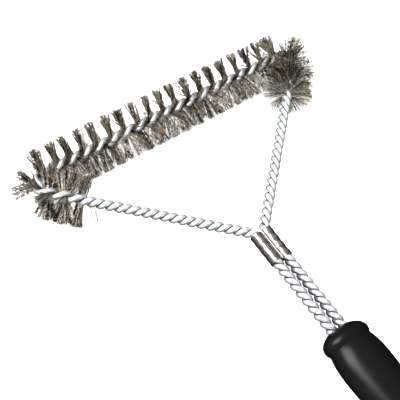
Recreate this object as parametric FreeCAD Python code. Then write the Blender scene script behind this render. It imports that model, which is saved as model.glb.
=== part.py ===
"""Three-sided wire grill brush: twisted wire head, ferrule, twin stem and moulded handle.

The brush lies as it rests on a table: bristles and handle butt on z = 0, head towards +Y.
Every solid is first drawn in the flat plane of the wire triangle, with the origin at the
middle of the front bar, and then laid down by rest_on_table.
"""
import FreeCAD, Part
import math
import os

V = FreeCAD.Vector

# ---- driving dimensions, mm and degrees ----
WIRE_D = 3.2                 # diameter of each of the two steel wires
HALF_HEAD = 100.0            # from the middle of the bar to the sharp corner of its centre line
HEAD_DEPTH = 96.5            # from the bar to the point where the two arms meet the stem
STRAND_X = 3.4               # half the distance between the two strands of the stem
CORNER_R = 7.0               # centre-line bend radius at the two front corners
NECK_R = 5.0                 # centre-line bend radius where an arm turns into the stem
STRAND_END_Y = -206.0        # buried end of the strands, inside the handle

ARM_PITCH = 10.5             # one full turn of the bare strand
ARM_HELIX_R = 1.62           # wire centre to strand centre, bare strand
BAR_PITCH = 18.4             # one full turn where the wires clamp bristles
BAR_HELIX_R = 2.05           # wire centre to strand centre, with bristles between the wires
TIGHTEN_LENGTH = 8.0         # stretch over which the clamping lay closes to the bare lay
START_ANGLE = 128.0          # where wire A stands round the centre line at the middle of the bar

BRISTLE_R = 16.0             # reach of the bristles from the strand centre
TUFT_COUNT = 27              # one tuft for each half turn of the clamping wires
TUFT_STEPS = 3               # blocks in the spiral stair that stands for one tuft
TUFT_STEP_ANGLE = 61.0       # angle that one block covers on each side
TUFT_GAP = 0.6               # clear space between neighbouring tufts along the strand
TUFT_BORE_R = 3.8            # clear radius round the wires
BEND_BORE_R = 5.2            # the same where the wires bend away from a straight tuft
STEP_LAP = 0.3               # how far neighbouring blocks overlap along the strand
WEB_LENGTH = 1.0             # flat web of bristles pinched between the wires
WEB_HEIGHT = 0.6
WEB_LAP = 0.4                # how far the web runs into the blocks on each side

FERRULE_TOP_Y = -98.0
FERRULE_LENGTH = 20.0
FERRULE_BORE_R = 3.3
FERRULE_WALL = 0.4
FERRULE_VALLEY = 1.9         # half height of the sheet in the valley between the strands

SOCKET_R = 3.35
SOCKET_BRIDGE = 3.0          # height of the slot that joins the two strand sockets
HOLE_D = 8.0                 # hanging hole near the butt
HOLE_Y = -276.0

# stations down the handle: y, half width, half thickness
COLLAR_STATIONS = (
    (-168.0, 8.2, 5.0),
    (-169.0, 10.4, 6.4),
    (-170.6, 12.6, 7.8),
    (-172.6, 14.0, 8.7),
    (-174.8, 14.5, 9.0),
    (-176.8, 14.0, 8.7),
    (-178.4, 13.2, 8.2),
)
GRIP_STATIONS = (
    (-178.0, 13.2, 8.2),
    (-181.0, 14.0, 8.8),
    (-186.0, 14.8, 9.3),
    (-194.0, 15.1, 9.5),
    (-208.0, 14.4, 9.3),
    (-230.0, 12.9, 8.8),
    (-250.0, 13.5, 9.0),
    (-270.0, 14.4, 9.0),
    (-281.0, 13.6, 8.4),
    (-287.0, 10.8, 6.8),
    (-290.0, 5.5, 3.6),
)
BUTT_REST_Y = -272.0         # the grip touches the table here
BUTT_REST_HALF = 9.0

WIRE_R = WIRE_D / 2
SPLINE_STEP = 0.6            # spacing of the points on a bent stretch of wire


# ---- centre line of the strand ----
def centre_line():
    """Stretches of the centre line from the middle of the bar to the buried right-hand end.

    A stretch is (length, turn): a straight run has turn 0, a bend turns by that angle.
    """
    arm = V(STRAND_X - HALF_HEAD, -HEAD_DEPTH, 0)
    arm_heading = math.atan2(arm.y, arm.x)
    corner_turn = arm_heading
    neck_turn = -math.pi / 2 - arm_heading
    corner_cut = CORNER_R * math.tan(abs(corner_turn) / 2)
    neck_cut = NECK_R * math.tan(abs(neck_turn) / 2)
    return (
        (HALF_HEAD - corner_cut, 0.0),
        (CORNER_R * abs(corner_turn), corner_turn),
        (arm.Length - corner_cut - neck_cut, 0.0),
        (NECK_R * abs(neck_turn), neck_turn),
        (-STRAND_END_Y - HEAD_DEPTH - neck_cut, 0.0),
    )


STRETCHES = centre_line()
LENGTHS = [length for length, turn in STRETCHES]
BAR_END = LENGTHS[0]
CORNER_END = BAR_END + LENGTHS[1]
NECK_START = CORNER_END + LENGTHS[2]
NECK_END = NECK_START + LENGTHS[3]
STRAND_END = NECK_END + LENGTHS[4]
TUFT_SPACING = BAR_PITCH / 2
BRISTLE_END = TUFT_COUNT * TUFT_SPACING / 2
CLAMP_END = BRISTLE_END - TIGHTEN_LENGTH


def place_on_line(s):
    """Point and heading of the centre line at distance s from the middle of the bar.

    s grows from the left-hand end to the right-hand end and is negative left of the middle.
    """
    x, y, heading = 0.0, 0.0, 0.0
    side = -1 if s < 0 else 1
    s = abs(s)
    for length, turn in STRETCHES:
        run = min(s, length)
        if turn:
            angle = turn * run / length
            radius = length / turn
            x += radius * (math.sin(heading + angle) - math.sin(heading))
            y -= radius * (math.cos(heading + angle) - math.cos(heading))
            heading += angle
        else:
            x += run * math.cos(heading)
            y += run * math.sin(heading)
        s -= run
        if s <= 0:
            break
    return V(side * x, y, 0), side * heading


def blend(s, start, end):
    """Smooth step from 0 at start to 1 at end."""
    t = min(max((s - start) / (end - start), 0.0), 1.0)
    return t * t * (3 - 2 * t)


def helix_radius(s):
    return BAR_HELIX_R + (ARM_HELIX_R - BAR_HELIX_R) * blend(abs(s), CLAMP_END, BRISTLE_END)


def twist_angle(s):
    """Angle of wire A round the centre line; it falls with s, so the lay is left-handed."""
    bar_rate = -2 * math.pi / BAR_PITCH
    arm_rate = -2 * math.pi / ARM_PITCH
    t = min(max((abs(s) - CLAMP_END) / TIGHTEN_LENGTH, 0.0), 1.0)
    # the integral of the smooth step from one rate to the other, then the full change
    tighter = TIGHTEN_LENGTH * (t ** 3 - t ** 4 / 2) + max(abs(s) - BRISTLE_END, 0.0)
    turned = bar_rate * s + math.copysign((arm_rate - bar_rate) * tighter, s)
    return math.radians(START_ANGLE) + turned


def wire_point(s, phase):
    centre, heading = place_on_line(s)
    normal = V(-math.sin(heading), math.cos(heading), 0)
    angle = twist_angle(s) + phase
    return centre + (normal * math.cos(angle) + V(0, 0, 1) * math.sin(angle)) * helix_radius(s)


def wire_direction(s, phase):
    step = 0.001
    return (wire_point(s + step, phase) - wire_point(s - step, phase)).normalize()


# ---- wires ----
def straight_wire(start, end, phase, pitch):
    """Wire on a straight stretch: a circle swept along a true left-hand helix."""
    centre, heading = place_on_line(start)
    helix = Part.makeHelix(pitch, end - start, helix_radius(start), 0, True)
    first = wire_point(start, phase)
    # the helix starts on its own X axis and climbs its own Z axis
    axis = V(math.cos(heading), math.sin(heading), 0)
    out = (first - centre).normalize()
    side = axis.cross(out)
    frame = FreeCAD.Matrix(
        out.x, side.x, axis.x, centre.x,
        out.y, side.y, axis.y, centre.y,
        out.z, side.z, axis.z, centre.z,
        0, 0, 0, 1,
    )
    helix.transformShape(frame)
    path = Part.Wire(helix.Edges)
    edge = path.Edges[0]
    profile = Part.Wire([Part.makeCircle(WIRE_R, first, edge.tangentAt(edge.FirstParameter))])
    return path.makePipeShell([profile], True, True)


def bent_wire(start, end, phase):
    """Wire on a bent stretch: a circle swept along a fair curve through helix points."""
    count = int((end - start) / SPLINE_STEP)
    points = [wire_point(start + (end - start) * i / count, phase) for i in range(count + 1)]
    curve = Part.BSplineCurve()
    curve.interpolate(points)
    path = Part.Wire([curve.toShape()])
    profile = Part.Wire([Part.makeCircle(WIRE_R, points[0], wire_direction(start, phase))])
    return path.makePipeShell([profile], True, False)


def wires():
    """The two wires, each in lengths that meet end to end.

    On each side a wire runs from the front bar round the corner, along a shoulder that
    still clamps bristles, through a closing stretch where the lay tightens, down the bare
    arm, round the neck and along the stem.
    """
    parts = {}
    for wire, phase in (("wire_a", 0.0), ("wire_b", math.pi)):
        parts[wire + "_front_bar"] = straight_wire(-BAR_END, BAR_END, phase, BAR_PITCH)
        parts[wire + "_right_corner"] = bent_wire(BAR_END, CORNER_END, phase)
        parts[wire + "_left_corner"] = bent_wire(-CORNER_END, -BAR_END, phase)
        parts[wire + "_right_shoulder"] = straight_wire(CORNER_END, CLAMP_END, phase, BAR_PITCH)
        parts[wire + "_left_shoulder"] = straight_wire(-CLAMP_END, -CORNER_END, phase, BAR_PITCH)
        parts[wire + "_right_closing"] = bent_wire(CLAMP_END, BRISTLE_END, phase)
        parts[wire + "_left_closing"] = bent_wire(-BRISTLE_END, -CLAMP_END, phase)
        parts[wire + "_right_arm"] = straight_wire(BRISTLE_END, NECK_START, phase, ARM_PITCH)
        parts[wire + "_left_arm"] = straight_wire(-NECK_START, -BRISTLE_END, phase, ARM_PITCH)
        parts[wire + "_right_neck"] = bent_wire(NECK_START, NECK_END, phase)
        parts[wire + "_left_neck"] = bent_wire(-NECK_END, -NECK_START, phase)
        parts[wire + "_right_stem"] = straight_wire(NECK_END, STRAND_END, phase, ARM_PITCH)
        parts[wire + "_left_stem"] = straight_wire(-STRAND_END, -NECK_END, phase, ARM_PITCH)
    return parts


# ---- bristles ----
def sector_pair(middle_angle, thickness, bore):
    """Two opposite annular sectors round the X axis; angle 0 points along +Y."""
    solids = []
    for flip in (0.0, 180.0):
        start = middle_angle + flip - TUFT_STEP_ANGLE / 2
        base = V(0, 0, -thickness / 2)
        disc = Part.makeCylinder(BRISTLE_R, thickness, base, V(0, 0, 1), TUFT_STEP_ANGLE)
        sector = disc.cut(Part.makeCylinder(bore, thickness, base))
        sector.rotate(V(0, 0, 0), V(0, 0, 1), start)
        # a third of a turn about the diagonal takes X to Y, Y to Z and Z to X
        sector.rotate(V(0, 0, 0), V(1, 1, 1), 120)
        solids.append(sector)
    return solids


def straight_tuft(bore):
    """Double-ended spiral stair of blocks round the X axis, joined by a web at the core."""
    rise = (TUFT_SPACING - TUFT_GAP - STEP_LAP) / TUFT_STEPS
    turn = -180.0 / TUFT_STEPS
    blocks = []
    for step in range(TUFT_STEPS):
        offset = step - (TUFT_STEPS - 1) / 2
        for sector in sector_pair(offset * turn, rise + STEP_LAP, bore):
            sector.translate(V(offset * rise, 0, 0))
            blocks.append(sector)
    width = 2 * (bore + WEB_LAP)
    corner = V(-WEB_LENGTH / 2, -width / 2, -WEB_HEIGHT / 2)
    blocks.append(Part.makeBox(WEB_LENGTH, width, WEB_HEIGHT, corner))
    return blocks[0].multiFuse(blocks[1:]).removeSplitter()


def bend_wedge(from_angle, to_angle, side):
    """Upright wedge with its apex at the centre of a corner bend; side is 1 or -1.

    Angles are in radians from +Y, towards +X at the right corner and -X at the left one.
    """
    reach = BRISTLE_R * 4
    centre = V(side * BAR_END, -CORNER_R, 0)
    corners = [centre]
    for angle in (from_angle, (from_angle + to_angle) / 2, to_angle):
        corners.append(centre + V(side * math.sin(angle), math.cos(angle), 0) * reach)
    outline = Part.makePolygon(corners + [centre])
    wedge = Part.Face(outline).extrude(V(0, 0, reach))
    wedge.translate(V(0, 0, -reach / 2))
    return wedge


def tuft(index):
    """Tuft number index, counted from the middle of the bar; the left ones are negative."""
    s = index * TUFT_SPACING
    side = -1 if index < 0 else 1
    centre, heading = place_on_line(s)
    # where along the corner bend the tuft's own slot starts and ends, in radians
    corner_turn = -STRETCHES[1][1]
    middle = (abs(s) - BAR_END) / CORNER_R
    half_slot = TUFT_SPACING / 2 / CORNER_R
    half_clear = (TUFT_SPACING - TUFT_GAP) / 2 / CORNER_R
    bisector = corner_turn / 2
    in_bend = middle + half_slot > 0 and middle - half_slot < corner_turn
    solid = straight_tuft(BEND_BORE_R if in_bend else TUFT_BORE_R)
    solid.rotate(V(0, 0, 0), V(1, 0, 0), math.degrees(twist_angle(s)) + 90.0)
    solid.rotate(V(0, 0, 0), V(0, 0, 1), math.degrees(heading))
    solid.translate(centre)
    if in_bend:
        low = middle - half_clear if middle > half_slot else bisector - math.pi
        high = middle + half_clear if middle + half_slot < corner_turn else bisector + math.pi
        solid = solid.common(bend_wedge(low, high, side))
    elif middle >= corner_turn:
        solid = solid.common(bend_wedge(corner_turn, bisector + math.pi, side))
    elif abs(s) > BAR_END - 2 * BRISTLE_R:
        solid = solid.common(bend_wedge(bisector - math.pi, 0, side))
    return solid


def tufts():
    half = TUFT_COUNT // 2
    return {"bristle_tuft_%02d" % (i + half + 1): tuft(i) for i in range(-half, half + 1)}


# ---- ferrule and handle ----
def twin_bore(radius, height, top_y, length):
    """Two side-by-side rods along -Y joined by a slab of the given height."""
    solids = []
    for side in (-1, 1):
        solids.append(Part.makeCylinder(radius, length, V(side * STRAND_X, top_y, 0), V(0, -1, 0)))
    slab = Part.makeBox(2 * STRAND_X, length, height, V(-STRAND_X, top_y - length, -height / 2))
    return solids[0].multiFuse([solids[1], slab]).removeSplitter()


def ferrule():
    outer = twin_bore(
        FERRULE_BORE_R + FERRULE_WALL, 2 * FERRULE_VALLEY, FERRULE_TOP_Y, FERRULE_LENGTH
    )
    inner_height = 2 * (FERRULE_VALLEY - FERRULE_WALL)
    overrun = 1.0
    inner = twin_bore(
        FERRULE_BORE_R, inner_height, FERRULE_TOP_Y + overrun, FERRULE_LENGTH + 2 * overrun
    )
    return outer.cut(inner)


def oval_loft(stations):
    sections = []
    for y, half_width, half_thickness in stations:
        oval = Part.Ellipse(V(0, 0, 0), half_width, half_thickness).toShape()
        wire = Part.Wire([oval])
        wire.rotate(V(0, 0, 0), V(1, 0, 0), 90)
        wire.translate(V(0, y, 0))
        sections.append(wire)
    return Part.makeLoft(sections, True, False)


def handle():
    body = oval_loft(COLLAR_STATIONS).fuse(oval_loft(GRIP_STATIONS))
    overrun = 5.0
    top = COLLAR_STATIONS[0][0] + overrun
    socket = twin_bore(SOCKET_R, SOCKET_BRIDGE, top, top - STRAND_END_Y)
    hole_length = 4 * BUTT_REST_HALF
    hole = Part.makeCylinder(HOLE_D / 2, hole_length, V(0, HOLE_Y, -hole_length / 2), V(0, 0, 1))
    return body.cut(socket).cut(hole)


# ---- output ----
# the brush rests on the bristles at the start of its arms and on the swell of its butt
BRISTLE_REST_Y = place_on_line(BRISTLE_END)[0].y
REST_TILT = math.atan((BRISTLE_R - BUTT_REST_HALF) / (BRISTLE_REST_Y - BUTT_REST_Y))
REST_LIFT = BRISTLE_R * math.cos(REST_TILT) - BRISTLE_REST_Y * math.sin(REST_TILT)
# the middle of the brush from front bristles to butt, so that the origin is under it
MIDDLE_Y = (BRISTLE_R + GRIP_STATIONS[-1][0] * math.cos(REST_TILT)) / 2


def rest_on_table(shape):
    """Tip the flat brush so that its bristles and its butt both touch z = 0."""
    laid = shape.copy()
    laid.rotate(V(0, 0, 0), V(1, 0, 0), math.degrees(REST_TILT))
    laid.translate(V(0, -MIDDLE_Y, REST_LIFT))
    return laid


def main():
    os.makedirs("parts", exist_ok=True)
    parts = wires()
    parts.update(tufts())
    parts["ferrule"] = ferrule()
    parts["handle"] = handle()
    for name, shape in sorted(parts.items()):
        solid = rest_on_table(shape)
        box = solid.BoundBox
        print("%-24s valid %s solids %d volume %9.1f  x %.2f..%.2f y %.2f..%.2f z %.2f..%.2f" % (
            name, solid.isValid(), len(solid.Solids), solid.Volume,
            box.XMin, box.XMax, box.YMin, box.YMax, box.ZMin, box.ZMax))
        solid.exportStep("parts/%s.step" % name)


main()
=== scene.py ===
import math

import bpy
import numpy as np
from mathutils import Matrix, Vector


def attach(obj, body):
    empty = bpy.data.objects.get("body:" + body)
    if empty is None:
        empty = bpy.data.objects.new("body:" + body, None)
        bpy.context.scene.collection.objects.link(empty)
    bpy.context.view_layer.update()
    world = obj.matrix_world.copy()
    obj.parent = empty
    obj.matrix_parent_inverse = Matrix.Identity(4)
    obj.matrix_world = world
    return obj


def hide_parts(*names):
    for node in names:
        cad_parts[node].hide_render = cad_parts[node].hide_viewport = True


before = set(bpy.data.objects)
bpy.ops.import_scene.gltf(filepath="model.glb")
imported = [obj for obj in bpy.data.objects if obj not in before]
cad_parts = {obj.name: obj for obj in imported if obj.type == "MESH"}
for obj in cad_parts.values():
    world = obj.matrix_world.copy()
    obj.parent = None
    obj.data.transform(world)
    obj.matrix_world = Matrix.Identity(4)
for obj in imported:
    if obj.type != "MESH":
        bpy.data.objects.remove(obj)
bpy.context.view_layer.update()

MM = 0.001

# ---- the wire path, as in the CAD model (millimetres, flat plane of the triangle) ----
WIRE_D = 3.2
HALF_HEAD = 100.0
HEAD_DEPTH = 96.5
STRAND_X = 3.4
CORNER_R = 7.0
NECK_R = 5.0
STRAND_END_Y = -206.0
ARM_PITCH = 10.5
BAR_PITCH = 18.4
BAR_HELIX_R = 2.05
ARM_HELIX_R = 1.62
TIGHTEN_LENGTH = 8.0
START_ANGLE = math.radians(128.0)
BRISTLE_R = 16.0
TUFT_COUNT = 27
BUTT_END_Y = -290.0
BUTT_REST_Y = -272.0
BUTT_REST_HALF = 9.0
FERRULE_TOP_Y = -98.0
FERRULE_LENGTH = 20.0

# ---- studio ----
FLOOR_GLOW = 0.8
FLOOR_SIZE = 30.0
FLOOR_DROP = 0.0003          # metres below the table's plane
SKY_CENTRE = (-0.33, -0.05, 0.94)
KEY_PLACE = (-0.36, 0.29, 0.88)
KEY_SIZE = 0.5
KEY_POWER = 14.0
SKY_RAMP = ((0.08, 0.02), (0.32, 0.07), (0.56, 0.36), (0.82, 1.0))   # from behind to the centre

# ---- camera at the photograph's place ----
CAMERA_PLACE = (-201.4, -151.1, 461.6)
CAMERA_TURN = (33.06, -3.05, -34.57)
CAMERA_LENS = 84.1


# ---- centre line ----
def centre_line():
    """(length, turn) of each stretch from the middle of the bar to the buried end."""
    arm_x, arm_y = STRAND_X - HALF_HEAD, -HEAD_DEPTH
    heading = math.atan2(arm_y, arm_x)
    neck_turn = -math.pi / 2 - heading
    corner_cut = CORNER_R * math.tan(abs(heading) / 2)
    neck_cut = NECK_R * math.tan(abs(neck_turn) / 2)
    return (
        (HALF_HEAD - corner_cut, 0.0),
        (CORNER_R * abs(heading), heading),
        (math.hypot(arm_x, arm_y) - corner_cut - neck_cut, 0.0),
        (NECK_R * abs(neck_turn), neck_turn),
        (-STRAND_END_Y - HEAD_DEPTH - neck_cut, 0.0),
    )


STRETCHES = centre_line()
STEM_LENGTH = STRETCHES[-1][0]
STRAND_END = sum(length for length, turn in STRETCHES)
TUFT_SPACING = BAR_PITCH / 2
BRISTLE_END = TUFT_COUNT * TUFT_SPACING / 2
CLAMP_END = BRISTLE_END - TIGHTEN_LENGTH


def centre_frames(s):
    """Centre points, headings as unit tangents, and in-plane normals at distances s."""
    side = np.where(s < 0, -1.0, 1.0)
    left = np.abs(s)
    x, y, heading = np.zeros_like(left), np.zeros_like(left), np.zeros_like(left)
    for length, turn in STRETCHES:
        run = np.clip(left, 0.0, length)
        if turn:
            radius = length / turn
            angle = run / radius
            x += radius * (np.sin(heading + angle) - np.sin(heading))
            y -= radius * (np.cos(heading + angle) - np.cos(heading))
            heading += angle
        else:
            x += run * np.cos(heading)
            y += run * np.sin(heading)
        left = left - run
    heading = side * heading
    zero = np.zeros_like(x)
    centre = np.stack([side * x, y, zero], -1)
    tangent = np.stack([np.cos(heading), np.sin(heading), zero], -1)
    normal = np.stack([-np.sin(heading), np.cos(heading), zero], -1)
    return centre, tangent, normal


def twist_angle(s):
    """Angle of wire A round the centre line; it falls with s: a left-hand lay."""
    bar_rate = -2 * math.pi / BAR_PITCH
    arm_rate = -2 * math.pi / ARM_PITCH
    t = np.clip((np.abs(s) - CLAMP_END) / TIGHTEN_LENGTH, 0.0, 1.0)
    tighter = TIGHTEN_LENGTH * (t ** 3 - t ** 4 / 2) + np.maximum(np.abs(s) - BRISTLE_END, 0.0)
    return START_ANGLE + bar_rate * s + np.sign(s) * (arm_rate - bar_rate) * tighter


def helix_radius(s):
    """Distance of each wire from the centre line; the lay closes up where the bristles end."""
    t = np.clip((np.abs(s) - CLAMP_END) / TIGHTEN_LENGTH, 0.0, 1.0)
    return BAR_HELIX_R + (ARM_HELIX_R - BAR_HELIX_R) * t * t * (3 - 2 * t)


UP = np.array([0.0, 0.0, 1.0])


def rest_on_table(points):
    """From the flat plane of the triangle, in mm, to the resting brush, in metres."""
    rest_y = centre_frames(np.array([BRISTLE_END]))[0][0, 1]
    tilt = math.atan((BRISTLE_R - BUTT_REST_HALF) / (rest_y - BUTT_REST_Y))
    lift = BRISTLE_R * math.cos(tilt) - rest_y * math.sin(tilt)
    middle = (BRISTLE_R + BUTT_END_Y * math.cos(tilt)) / 2
    x, y, z = points[..., 0], points[..., 1], points[..., 2]
    laid = np.stack([
        x,
        y * math.cos(tilt) - z * math.sin(tilt) - middle,
        y * math.sin(tilt) + z * math.cos(tilt) + lift,
    ], -1)
    return laid * MM


# ---- mesh helpers ----
def mesh_object(name, verts, faces):
    """A smooth-shaded mesh object from vertices in metres and a list of equal-length face arrays."""
    mesh = bpy.data.meshes.new(name)
    verts = np.asarray(verts, np.float32).reshape(-1, 3)
    loops = np.concatenate([np.asarray(f, np.int32).ravel() for f in faces])
    sizes = np.concatenate([np.full(len(f), np.shape(f)[1], np.int32) for f in faces])
    starts = np.concatenate([[0], np.cumsum(sizes)[:-1]]).astype(np.int32)
    mesh.vertices.add(len(verts))
    mesh.vertices.foreach_set("co", verts.ravel())
    mesh.loops.add(len(loops))
    mesh.loops.foreach_set("vertex_index", loops)
    mesh.polygons.add(len(sizes))
    mesh.polygons.foreach_set("loop_start", starts)
    mesh.polygons.foreach_set("use_smooth", np.full(len(sizes), True))
    mesh.update(calc_edges=True)
    mesh.validate()
    piece = bpy.data.objects.new(name, mesh)
    bpy.context.scene.collection.objects.link(piece)
    return piece


def tube_faces(tubes, rings, sides):
    """Side quads and both end caps of many equal tubes, vertices in tube, ring, side order."""
    base = np.arange(tubes)[:, None, None] * rings * sides
    ring = np.arange(rings - 1)[None, :, None] * sides
    side = np.arange(sides)[None, None, :]
    nxt = (side + 1) % sides
    quads = np.stack([
        base + ring + side,
        base + ring + nxt,
        base + ring + sides + nxt,
        base + ring + sides + side,
    ], -1).reshape(-1, 4)
    first = (base[:, 0] + np.arange(sides)[::-1]).reshape(-1, sides)
    last = (base[:, 0] + (rings - 1) * sides + np.arange(sides)).reshape(-1, sides)
    return [quads, first, last]


def unit(v):
    """Vectors scaled to length one."""
    return v / np.linalg.norm(v, axis=-1, keepdims=True)


def float_attribute(mesh, name, values):
    """One number for each vertex, for a material to read."""
    layer = mesh.attributes.new(name, "FLOAT", "POINT")
    layer.data.foreach_set("value", np.asarray(values, np.float32).ravel())


# ---- materials ----
GRAIN_DEPTH = 0.0002         # metres, for every bump


class Shader:
    """A small helper that adds and links nodes in one material."""

    def __init__(self, name):
        self.material = bpy.data.materials.new(name)
        self.material.use_nodes = True
        self.tree = self.material.node_tree
        self.bsdf = self.tree.nodes["Principled BSDF"]

    def node(self, kind, **inputs):
        made = self.tree.nodes.new(kind)
        for key, value in inputs.items():
            made.inputs[key.replace("_", " ")].default_value = value
        return made

    def link(self, source, output, target, socket):
        self.tree.links.new(source.outputs[output], target.inputs[socket])

    def ramp(self, source, output, stops):
        made = self.tree.nodes.new("ShaderNodeValToRGB")
        while len(made.color_ramp.elements) < len(stops):
            made.color_ramp.elements.new(0.5)
        for element, (place, colour) in zip(made.color_ramp.elements, stops):
            element.position = place
            element.color = (*colour, 1.0)
        self.link(source, output, made, "Fac")
        return made

    def noise(self, coordinates, output, scale, detail=4.0, roughness=0.55):
        made = self.node("ShaderNodeTexNoise", Scale=scale, Detail=detail, Roughness=roughness)
        self.link(coordinates, output, made, "Vector")
        return made

    def bump(self, source, output, strength, distance):
        made = self.node("ShaderNodeBump", Strength=strength, Distance=distance)
        self.link(source, output, made, "Height")
        self.link(made, "Normal", self.bsdf, "Normal")

    def base_colour(self, colour, shade):
        """Drive the base colour by one colour ramp darkened by another."""
        mix = self.tree.nodes.new("ShaderNodeMix")
        mix.data_type = "RGBA"
        mix.blend_type = "MULTIPLY"
        mix.inputs["Factor"].default_value = 1.0
        self.link(colour, "Color", mix, "A")
        self.link(shade, "Color", mix, "B")
        self.tree.links.new(mix.outputs["Result"], self.bsdf.inputs["Base Color"])


def wire_material():
    """Bright zinc-plated wire: fine die lines, cloudy plating, and painted shade that darkens the
    side of each wire facing the other and the gap between the stem strands.
    """
    m = Shader("wire_zinc")
    m.bsdf.inputs["Metallic"].default_value = 1.0
    uv = m.tree.nodes.new("ShaderNodeUVMap")
    uv.uv_map = "along_wire"
    stretch = m.node("ShaderNodeMapping")
    stretch.inputs["Scale"].default_value = (0.6, 14.0, 1.0)
    m.link(uv, "UV", stretch, "Vector")
    die_lines = m.noise(stretch, "Vector", 3.0, 6.0, 0.65)
    place = m.tree.nodes.new("ShaderNodeTexCoord")
    clouds = m.noise(place, "Object", 160.0, 5.0)
    colour = m.ramp(clouds, "Fac", [(0.25, (0.84, 0.87, 0.88)), (0.7, (0.94, 0.97, 0.97))])
    # Painted shade: the base colour is darkened where one wire faces the other and between the two
    # stem strands, where shade falls.
    groove_shade = m.tree.nodes.new("ShaderNodeAttribute")
    groove_shade.attribute_name = "groove_shade"
    painted_shade = m.ramp(groove_shade, "Fac", [
        (0.32, (1.0, 1.0, 1.0)),
        (0.52, (0.55, 0.57, 0.59)),
        (0.85, (0.22, 0.23, 0.24)),
    ])
    m.base_colour(colour, painted_shade)
    gloss = m.ramp(die_lines, "Fac", [(0.3, (0.46, 0.46, 0.46)), (0.75, (0.56, 0.56, 0.56))])
    m.link(gloss, "Color", m.bsdf, "Roughness")
    m.bump(die_lines, "Fac", 0.03, GRAIN_DEPTH)
    return m.material


def bristle_material():
    """Steel bristles browned in patches; each one has its own tone."""
    m = Shader("bristle_steel")
    m.bsdf.inputs["Metallic"].default_value = 1.0
    m.bsdf.inputs["Roughness"].default_value = 0.30
    tone = m.tree.nodes.new("ShaderNodeAttribute")
    tone.attribute_name = "tone"
    colour = m.ramp(tone, "Fac", [
        (0.0, (0.03, 0.022, 0.014)),
        (0.38, (0.14, 0.115, 0.085)),
        (0.6, (0.70, 0.63, 0.53)),
        (1.0, (1.0, 0.96, 0.89)),
    ])
    place = m.tree.nodes.new("ShaderNodeTexCoord")
    stains = m.noise(place, "Object", 700.0, 3.0)
    shade = m.ramp(stains, "Fac", [(0.38, (0.50, 0.42, 0.34)), (0.56, (1.0, 1.0, 1.0))])
    m.base_colour(colour, shade)
    return m.material


def ferrule_material():
    """Dark sheet steel with scratches along the sleeve."""
    m = Shader("ferrule_steel")
    m.bsdf.inputs["Metallic"].default_value = 1.0
    place = m.tree.nodes.new("ShaderNodeTexCoord")
    stretch = m.node("ShaderNodeMapping")
    stretch.inputs["Scale"].default_value = (1.0, 0.08, 1.0)
    m.link(place, "Object", stretch, "Vector")
    scratches = m.noise(stretch, "Vector", 2600.0, 6.0, 0.7)
    clouds = m.noise(place, "Object", 240.0, 4.0)
    colour = m.ramp(clouds, "Fac", [(0.3, (0.17, 0.16, 0.145)), (0.7, (0.27, 0.255, 0.235))])
    m.link(colour, "Color", m.bsdf, "Base Color")
    gloss = m.ramp(scratches, "Fac", [(0.3, (0.18, 0.18, 0.18)), (0.7, (0.34, 0.34, 0.34))])
    m.link(gloss, "Color", m.bsdf, "Roughness")
    m.bump(scratches, "Fac", 0.12, GRAIN_DEPTH)
    return m.material


def handle_material():
    """Black moulded plastic with a faint grain and smudged gloss."""
    m = Shader("handle_plastic")
    m.bsdf.inputs["Base Color"].default_value = (0.0025, 0.0025, 0.003, 1.0)
    m.bsdf.inputs["Specular IOR Level"].default_value = 0.13
    place = m.tree.nodes.new("ShaderNodeTexCoord")
    grain = m.noise(place, "Object", 2200.0, 3.0)
    smudges = m.noise(place, "Object", 60.0, 4.0)
    gloss = m.ramp(smudges, "Fac", [(0.3, (0.24, 0.24, 0.24)), (0.7, (0.34, 0.34, 0.34))])
    m.link(gloss, "Color", m.bsdf, "Roughness")
    m.bump(grain, "Fac", 0.06, GRAIN_DEPTH)
    return m.material


# ---- pieces ----
WIRE_SIDES = 32
WIRE_STEP = 0.4
GROOVE_SHADE_REACH = 3.0           # how far the painted shade spreads from between the two stem strands


def wire_piece(name, phase, material):
    """One whole wire, from its buried left end round the head to its buried right end."""
    count = int(2 * STRAND_END / WIRE_STEP)
    s = np.linspace(-STRAND_END, STRAND_END, count)
    centre, _, normal = centre_frames(s)
    angle = (twist_angle(s) + phase)[:, None]
    radius = helix_radius(s)[:, None]
    outward = normal * np.cos(angle) + UP * np.sin(angle)
    line = centre + outward * radius
    along = unit(np.gradient(line, axis=0))
    across = unit(outward - along * np.sum(outward * along, -1, keepdims=True))
    third = np.cross(along, across)
    turn = np.linspace(0, 2 * math.pi, WIRE_SIDES, endpoint=False)[None, :, None]
    ring = across[:, None] * np.cos(turn) + third[:, None] * np.sin(turn)
    points = line[:, None] + ring * WIRE_D / 2
    piece = mesh_object(name, rest_on_table(points), tube_faces(1, count, WIRE_SIDES))
    # Painted shade mask: darkest on the side of each wire facing the other wire, and between the two
    # strands along the stem.
    inward = (1 - np.cos(turn[..., 0])) / 2 + 0 * radius
    on_stem = np.abs(s)[:, None] > STRAND_END - STEM_LENGTH
    between = on_stem * np.clip(1 - np.abs(points[..., 0]) / GROOVE_SHADE_REACH, 0, 1)
    float_attribute(piece.data, "groove_shade", np.maximum(inward, between))
    length = np.concatenate([[0], np.cumsum(np.linalg.norm(np.diff(line, axis=0), axis=-1))])
    layer = piece.data.uv_layers.new(name="along_wire")
    index = np.zeros(len(piece.data.loops), np.int32)
    piece.data.loops.foreach_get("vertex_index", index)
    u = length[index // WIRE_SIDES] / WIRE_D
    v = (index % WIRE_SIDES) / WIRE_SIDES
    layer.data.foreach_set("uv", np.stack([u, v], -1).astype(np.float32).ravel())
    piece.data.materials.append(material)
    return piece


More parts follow.
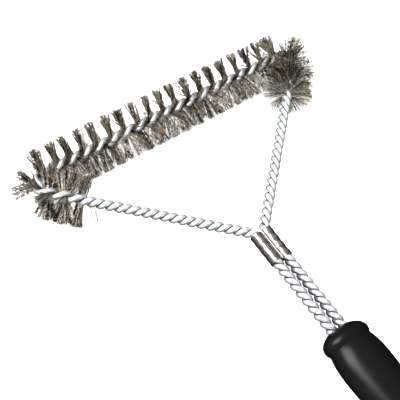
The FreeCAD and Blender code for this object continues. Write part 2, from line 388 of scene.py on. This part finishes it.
LOCKS = 16                   # small locks of bristles in one tuft
CORNER_LOCKS = 26            # the same at the corners, where neighbours crowd together
CORNER_BASE = 0.5            # share of the usual width a corner tuft takes along the wires
LOCK_FILAMENTS = 7           # bristles in one lock, each with two free ends
FILAMENT_R = 0.17
FILAMENT_SIDES = 4
FILAMENT_POINTS = 81
CRIMP_LENGTH = 2.9
CRIMP_HEIGHT = 0.24
TUFT_BUNCH = 0.55            # how far the bristles crowd towards the middle of a tuft, 0 to 1
CORNER_BUNCH = 0.85
CORNER_ROUND = 0.16          # how much shorter a corner tuft's outer bristles are
TIP_FAN = 0.10               # how far a tuft opens along the wire on its way to the tips
PINCH_R = 4.0                # the crimp grows to its full height over this radius
BASE_HALF = 0.48             # half width of a tuft at the wires, in tuft spacings
BASE_JITTER = 0.012
TANGLE = math.radians(5)     # spread of locks round the wires, everywhere
TANGLE_EACH = math.radians(2)
LEAN_TUFT = 0.03             # spread of the slope along the wire: tufts, locks, bristles
LEAN_LOCK = 0.11
LEAN_EACH = 0.04
TRIM = 0.5                   # unevenness of the cut ends
START_SLIP = 0.25            # how far a bristle slides sideways between the wires
BEND_LOCK = 0.5              # how far the tips bend away from straight: locks, bristles
BEND_EACH = 0.45
BEND_POWER = 1.7
TONE_MIDDLE = 0.53
TONE_LOCK = 0.28
TONE_EACH = 0.30
# number: opening along the wire, angle it faces, tangle in degrees, share that stands up
CORNER_TUFTS = {
    1: (0.04, -34.0, 6.0, 0.0),
    2: (0.34, -32.0, 7.0, 0.15),
    3: (0.34, -30.0, 7.0, 0.5),
    4: (0.20, -14.0, 7.0, 0.5),
    5: (0.22, 30.0, 18.0, 0.5),
    23: (0.16, 34.0, 20.0, 0.2),
    24: (0.50, 30.0, 50.0, 0.4),
    25: (0.45, 20.0, 50.0, 0.4),
    26: (0.42, 10.0, 50.0, 0.4),
    27: (0.34, 4.0, 45.0, 0.3),
}
STAND_UP = math.radians(70)  # how far the standing locks are turned from the rest
CORNER_TWIST = 0.35          # how much of the wires' twist still shows in a corner tuft
STRAY_PLACES = (-124.5, -128.0, -127.0)    # bristles that slipped down the left arm
STRAY_LEAN = -0.45           # towards the neck
STRAY_TONE = 0.1


def tuft_piece(index, rng, material):
    """The bristles of one half turn, pinched between the wires and cut off round."""
    corner = index + 1 in CORNER_TUFTS
    locks = CORNER_LOCKS if corner else LOCKS
    bunch = CORNER_BUNCH if corner else TUFT_BUNCH
    count = locks * LOCK_FILAMENTS

    def spread(by_lock, by_filament, columns=1):
        """Random offsets shared within a lock, plus a smaller one for each bristle."""
        lock = np.repeat(rng.normal(0, by_lock, (locks, columns)), LOCK_FILAMENTS, axis=0)
        return lock + rng.normal(0, by_filament, (count, columns))

    middle = (index - (TUFT_COUNT - 1) / 2) * TUFT_SPACING
    even = np.linspace(-1, 1, count)
    crowded = (1 - bunch) * even + bunch * even ** 3
    base = BASE_HALF * (CORNER_BASE if corner else 1)
    s = middle + TUFT_SPACING * (base * crowded + rng.normal(0, BASE_JITTER, count))
    fan, angle = TIP_FAN, twist_angle(s)[:, None] + math.pi / 2
    if corner:
        fan, facing, tangle, standing = CORNER_TUFTS[index + 1]
        angle = math.radians(facing) + (angle - twist_angle(middle) - math.pi / 2) * CORNER_TWIST
        angle = angle + spread(math.radians(tangle), math.radians(tangle / 4))
        stands = np.repeat(rng.random((locks, 1)) < standing, LOCK_FILAMENTS, axis=0)
        angle = angle + STAND_UP * stands
    angle = angle + spread(TANGLE, TANGLE_EACH)
    strays = slice(0, len(STRAY_PLACES) if index == 0 else 0)
    s[strays] = STRAY_PLACES[strays]
    centre, tangent, normal = centre_frames(s)
    radial = normal * np.cos(angle) + UP * np.sin(angle)
    between = -normal * np.sin(angle) + UP * np.cos(angle)
    tuft_lean = rng.normal(0, LEAN_TUFT)
    lean = tuft_lean + fan * even[:, None] + spread(LEAN_LOCK, LEAN_EACH, 2)
    reach = BRISTLE_R / np.sqrt(1 + lean ** 2) - np.abs(rng.normal(0, TRIM, (count, 2)))
    if corner:
        reach *= 1 - CORNER_ROUND * even[:, None] ** 2
    lean[strays] += STRAY_LEAN
    reach[strays, 0] = WIRE_D / 2
    t = np.linspace(-1, 1, FILAMENT_POINTS)[None, :]
    near_end = (t < 0)[..., None]
    r = np.where(t < 0, t * reach[:, :1], t * reach[:, 1:])[..., None]
    slope = np.where(near_end, -lean[:, None, :1], lean[:, None, 1:])
    start = centre + between * rng.uniform(-START_SLIP, START_SLIP, (count, 1))
    crimp_turn = rng.uniform(0, 2 * math.pi, (count, 1))
    crimp_way = (tangent * np.cos(crimp_turn) + between * np.sin(crimp_turn))[:, None]
    crimp_phase = rng.uniform(0, 2 * math.pi, (count, 1, 1))
    wave = CRIMP_HEIGHT * np.sin(2 * math.pi * r / CRIMP_LENGTH + crimp_phase)
    wave *= np.clip(np.abs(r) / PINCH_R, 0, 1) ** 2
    bend = spread(BEND_LOCK, BEND_EACH, 4)[:, None]
    bow = np.where(near_end,
                   tangent[:, None] * bend[..., :1] + between[:, None] * bend[..., 1:2],
                   tangent[:, None] * bend[..., 2:3] + between[:, None] * bend[..., 3:])
    line = (start[:, None] + radial[:, None] * r + tangent[:, None] * r * slope
            + crimp_way * wave + bow * np.abs(t[..., None]) ** BEND_POWER)
    turn = (np.arange(FILAMENT_SIDES) * 2 * math.pi / FILAMENT_SIDES)[None, None, :, None]
    ring = tangent[:, None, None] * np.cos(turn) + between[:, None, None] * np.sin(turn)
    points = line[:, :, None] + FILAMENT_R * ring
    faces = tube_faces(count, FILAMENT_POINTS, FILAMENT_SIDES)
    piece = mesh_object("bristles_%02d" % (index + 1), rest_on_table(points), faces)
    tone = np.clip(TONE_MIDDLE + spread(TONE_LOCK, TONE_EACH)[:, 0], 0, 1)
    tone[strays] = STRAY_TONE
    float_attribute(piece.data, "tone", np.repeat(tone, FILAMENT_POINTS * FILAMENT_SIDES))
    piece.data.materials.append(material)
    return piece


FERRULE_R = 3.7              # sheet over one strand
FERRULE_VALLEY = 1.9         # half height of the sheet between the strands
FERRULE_WALL = 0.4
FERRULE_CRIMP = 0.32         # how far the sheet is pressed into the lay of the strand
FERRULE_WAIST_SLOPE = 0.8    # how fast the sheet falls away from the waist
FERRULE_WAIST_SOFT = 0.5     # width of the blend from the waist to the lobes
FERRULE_END = 2.5            # the crimp fades in over this length at each end
FERRULE_END_CRIMP = 0.35     # share of the crimp left at the ends
FERRULE_LEFT_CRIMP = 0.45    # share of the crimp on the left strand
FERRULE_SHARP = math.radians(50)
FERRULE_RINGS = 96
FERRULE_SIDES = 160


def ferrule_section(y, shrink):
    """Points round the sheet at distances y down the ferrule, crimped into the strands."""
    turn = np.linspace(0, 2 * math.pi, FERRULE_SIDES, endpoint=False)[None, :]
    radius = FERRULE_R - shrink
    x = (STRAND_X + radius) * np.cos(turn) + 0 * y[:, None]
    over = np.abs(x) - STRAND_X
    lobe = np.sqrt(np.clip(radius ** 2 - over ** 2, 0, None))
    valley = FERRULE_VALLEY - shrink - FERRULE_WAIST_SLOPE * np.abs(x)
    height = (lobe + valley + np.sqrt((lobe - valley) ** 2 + FERRULE_WAIST_SOFT ** 2)) / 2
    z = np.where(np.sin(turn) < 0, -height, height)
    s = STRAND_END - (y[:, None] - STRAND_END_Y)
    side = np.where(x < 0, -1.0, 1.0)
    lay = twist_angle(side * s)
    around = np.arctan2(z, over)
    from_end = np.minimum(np.abs(y - FERRULE_TOP_Y), np.abs(y - FERRULE_TOP_Y + FERRULE_LENGTH))
    ends = np.clip(from_end / FERRULE_END, 0, 1)[:, None]
    fade = FERRULE_END_CRIMP + (1 - FERRULE_END_CRIMP) * ends
    press = FERRULE_CRIMP * fade * (1 - np.cos(2 * (around - lay))) / 2
    press *= np.where(side < 0, FERRULE_LEFT_CRIMP, 1.0) * np.clip(np.abs(x) / STRAND_X, 0, 1)
    scale = 1 - press / radius
    return np.stack([side * (STRAND_X + over * scale), y[:, None] + 0 * x, z * scale], -1)


def ferrule_piece(material):
    """Thin sheet steel sleeve pressed round both strands."""
    y = FERRULE_TOP_Y - FERRULE_LENGTH * np.linspace(0, 1, FERRULE_RINGS)
    outer = ferrule_section(y, 0.0)
    inner = ferrule_section(y[::-1], FERRULE_WALL)
    rings = np.concatenate([outer, inner, outer[:1]])
    count = len(rings) - 1
    ring = np.arange(count)[:, None] * FERRULE_SIDES
    after = (np.arange(count)[:, None] + 1) % count * FERRULE_SIDES
    side = np.arange(FERRULE_SIDES)[None, :]
    ahead = (side + 1) % FERRULE_SIDES
    quads = np.stack([ring + side, after + side, after + ahead, ring + ahead], -1).reshape(-1, 4)
    piece = mesh_object("ferrule_sleeve", rest_on_table(rings[:-1]), [quads])
    piece.data.set_sharp_from_angle(angle=FERRULE_SHARP)
    piece.data.materials.append(material)
    return piece


# ---- stage ----
def key_light():
    """A square area light, aimed at the middle of the table."""
    light = bpy.data.lights.new("key", "AREA")
    light.shape = "RECTANGLE"
    light.size = KEY_SIZE
    light.size_y = KEY_SIZE
    light.energy = KEY_POWER
    lamp = bpy.data.objects.new("key", light)
    bpy.context.scene.collection.objects.link(lamp)
    lamp.location = KEY_PLACE
    lamp.rotation_euler = (-Vector(KEY_PLACE)).to_track_quat("-Z", "Y").to_euler()


def studio():
    """White backdrop; what the object reflects is a broad overhead light that falls off."""
    world = bpy.data.worlds.new("studio")
    bpy.context.scene.world = world
    world.use_nodes = True
    tree = world.node_tree
    place = tree.nodes.new("ShaderNodeTexCoord")
    facing = tree.nodes.new("ShaderNodeVectorMath")
    facing.operation = "DOT_PRODUCT"
    facing.inputs[1].default_value = SKY_CENTRE
    tree.links.new(place.outputs["Generated"], facing.inputs[0])
    span = tree.nodes.new("ShaderNodeMapRange")
    span.inputs["From Min"].default_value = -1.0
    tree.links.new(facing.outputs["Value"], span.inputs["Value"])
    ramp = tree.nodes.new("ShaderNodeValToRGB")
    while len(ramp.color_ramp.elements) < len(SKY_RAMP):
        ramp.color_ramp.elements.new(0.5)
    for element, (position, level) in zip(ramp.color_ramp.elements, SKY_RAMP):
        element.position = position
        element.color = (level, level, level, 1)
    tree.links.new(span.outputs["Result"], ramp.inputs["Fac"])
    sky = tree.nodes["Background"]
    tree.links.new(ramp.outputs["Color"], sky.inputs["Color"])
    backdrop = tree.nodes.new("ShaderNodeBackground")
    seen = tree.nodes.new("ShaderNodeLightPath")
    choice = tree.nodes.new("ShaderNodeMixShader")
    tree.links.new(seen.outputs["Is Camera Ray"], choice.inputs["Fac"])
    tree.links.new(sky.outputs["Background"], choice.inputs[1])
    tree.links.new(backdrop.outputs["Background"], choice.inputs[2])
    backdrop.inputs["Color"].default_value = (1, 1, 1, 1)
    tree.links.new(choice.outputs["Shader"], tree.nodes["World Output"].inputs["Surface"])


def stage():
    """A glowing white floor, the studio world and the key light."""
    bpy.ops.mesh.primitive_plane_add(size=FLOOR_SIZE, location=(0, 0, -FLOOR_DROP))
    floor = bpy.context.active_object
    floor.name = "floor"
    floor.visible_glossy = False
    m = Shader("floor_white")
    m.bsdf.inputs["Base Color"].default_value = (0.95, 0.95, 0.95, 1)
    m.bsdf.inputs["Roughness"].default_value = 0.9
    m.bsdf.inputs["Specular IOR Level"].default_value = 0.0
    m.bsdf.inputs["Emission Color"].default_value = (1, 1, 1, 1)
    m.bsdf.inputs["Emission Strength"].default_value = FLOOR_GLOW
    floor.data.materials.append(m.material)
    studio()
    key_light()


def camera():
    """The camera where the photograph was taken from."""
    data = bpy.data.cameras.new("camera")
    data.lens = CAMERA_LENS
    data.clip_start = 0.01
    eye = bpy.data.objects.new("camera", data)
    bpy.context.scene.collection.objects.link(eye)
    eye.location = [v * MM for v in CAMERA_PLACE]
    eye.rotation_euler = [math.radians(v) for v in CAMERA_TURN]
    bpy.context.scene.camera = eye


RANDOM_SEED = 7


def main():
    """Set the stage, then add every piece and give the handle its material."""
    camera()
    stage()
    bpy.context.scene.view_settings.view_transform = "Standard"
    rng = np.random.default_rng(RANDOM_SEED)
    wire = wire_material()
    for name, phase in (("wire_a", 0.0), ("wire_b", math.pi)):
        piece = wire_piece(name, phase, wire)
        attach(piece, "root")
        sections = [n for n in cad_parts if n.startswith(name)]
        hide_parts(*sections)
    steel = bristle_material()
    for index in range(TUFT_COUNT):
        piece = tuft_piece(index, rng, steel)
        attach(piece, "root")
        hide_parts("bristle_tuft_%02d" % (index + 1))
    sleeve = ferrule_piece(ferrule_material())
    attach(sleeve, "root")
    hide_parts("ferrule")
    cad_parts["handle"].material_slots[0].material = handle_material()


main()
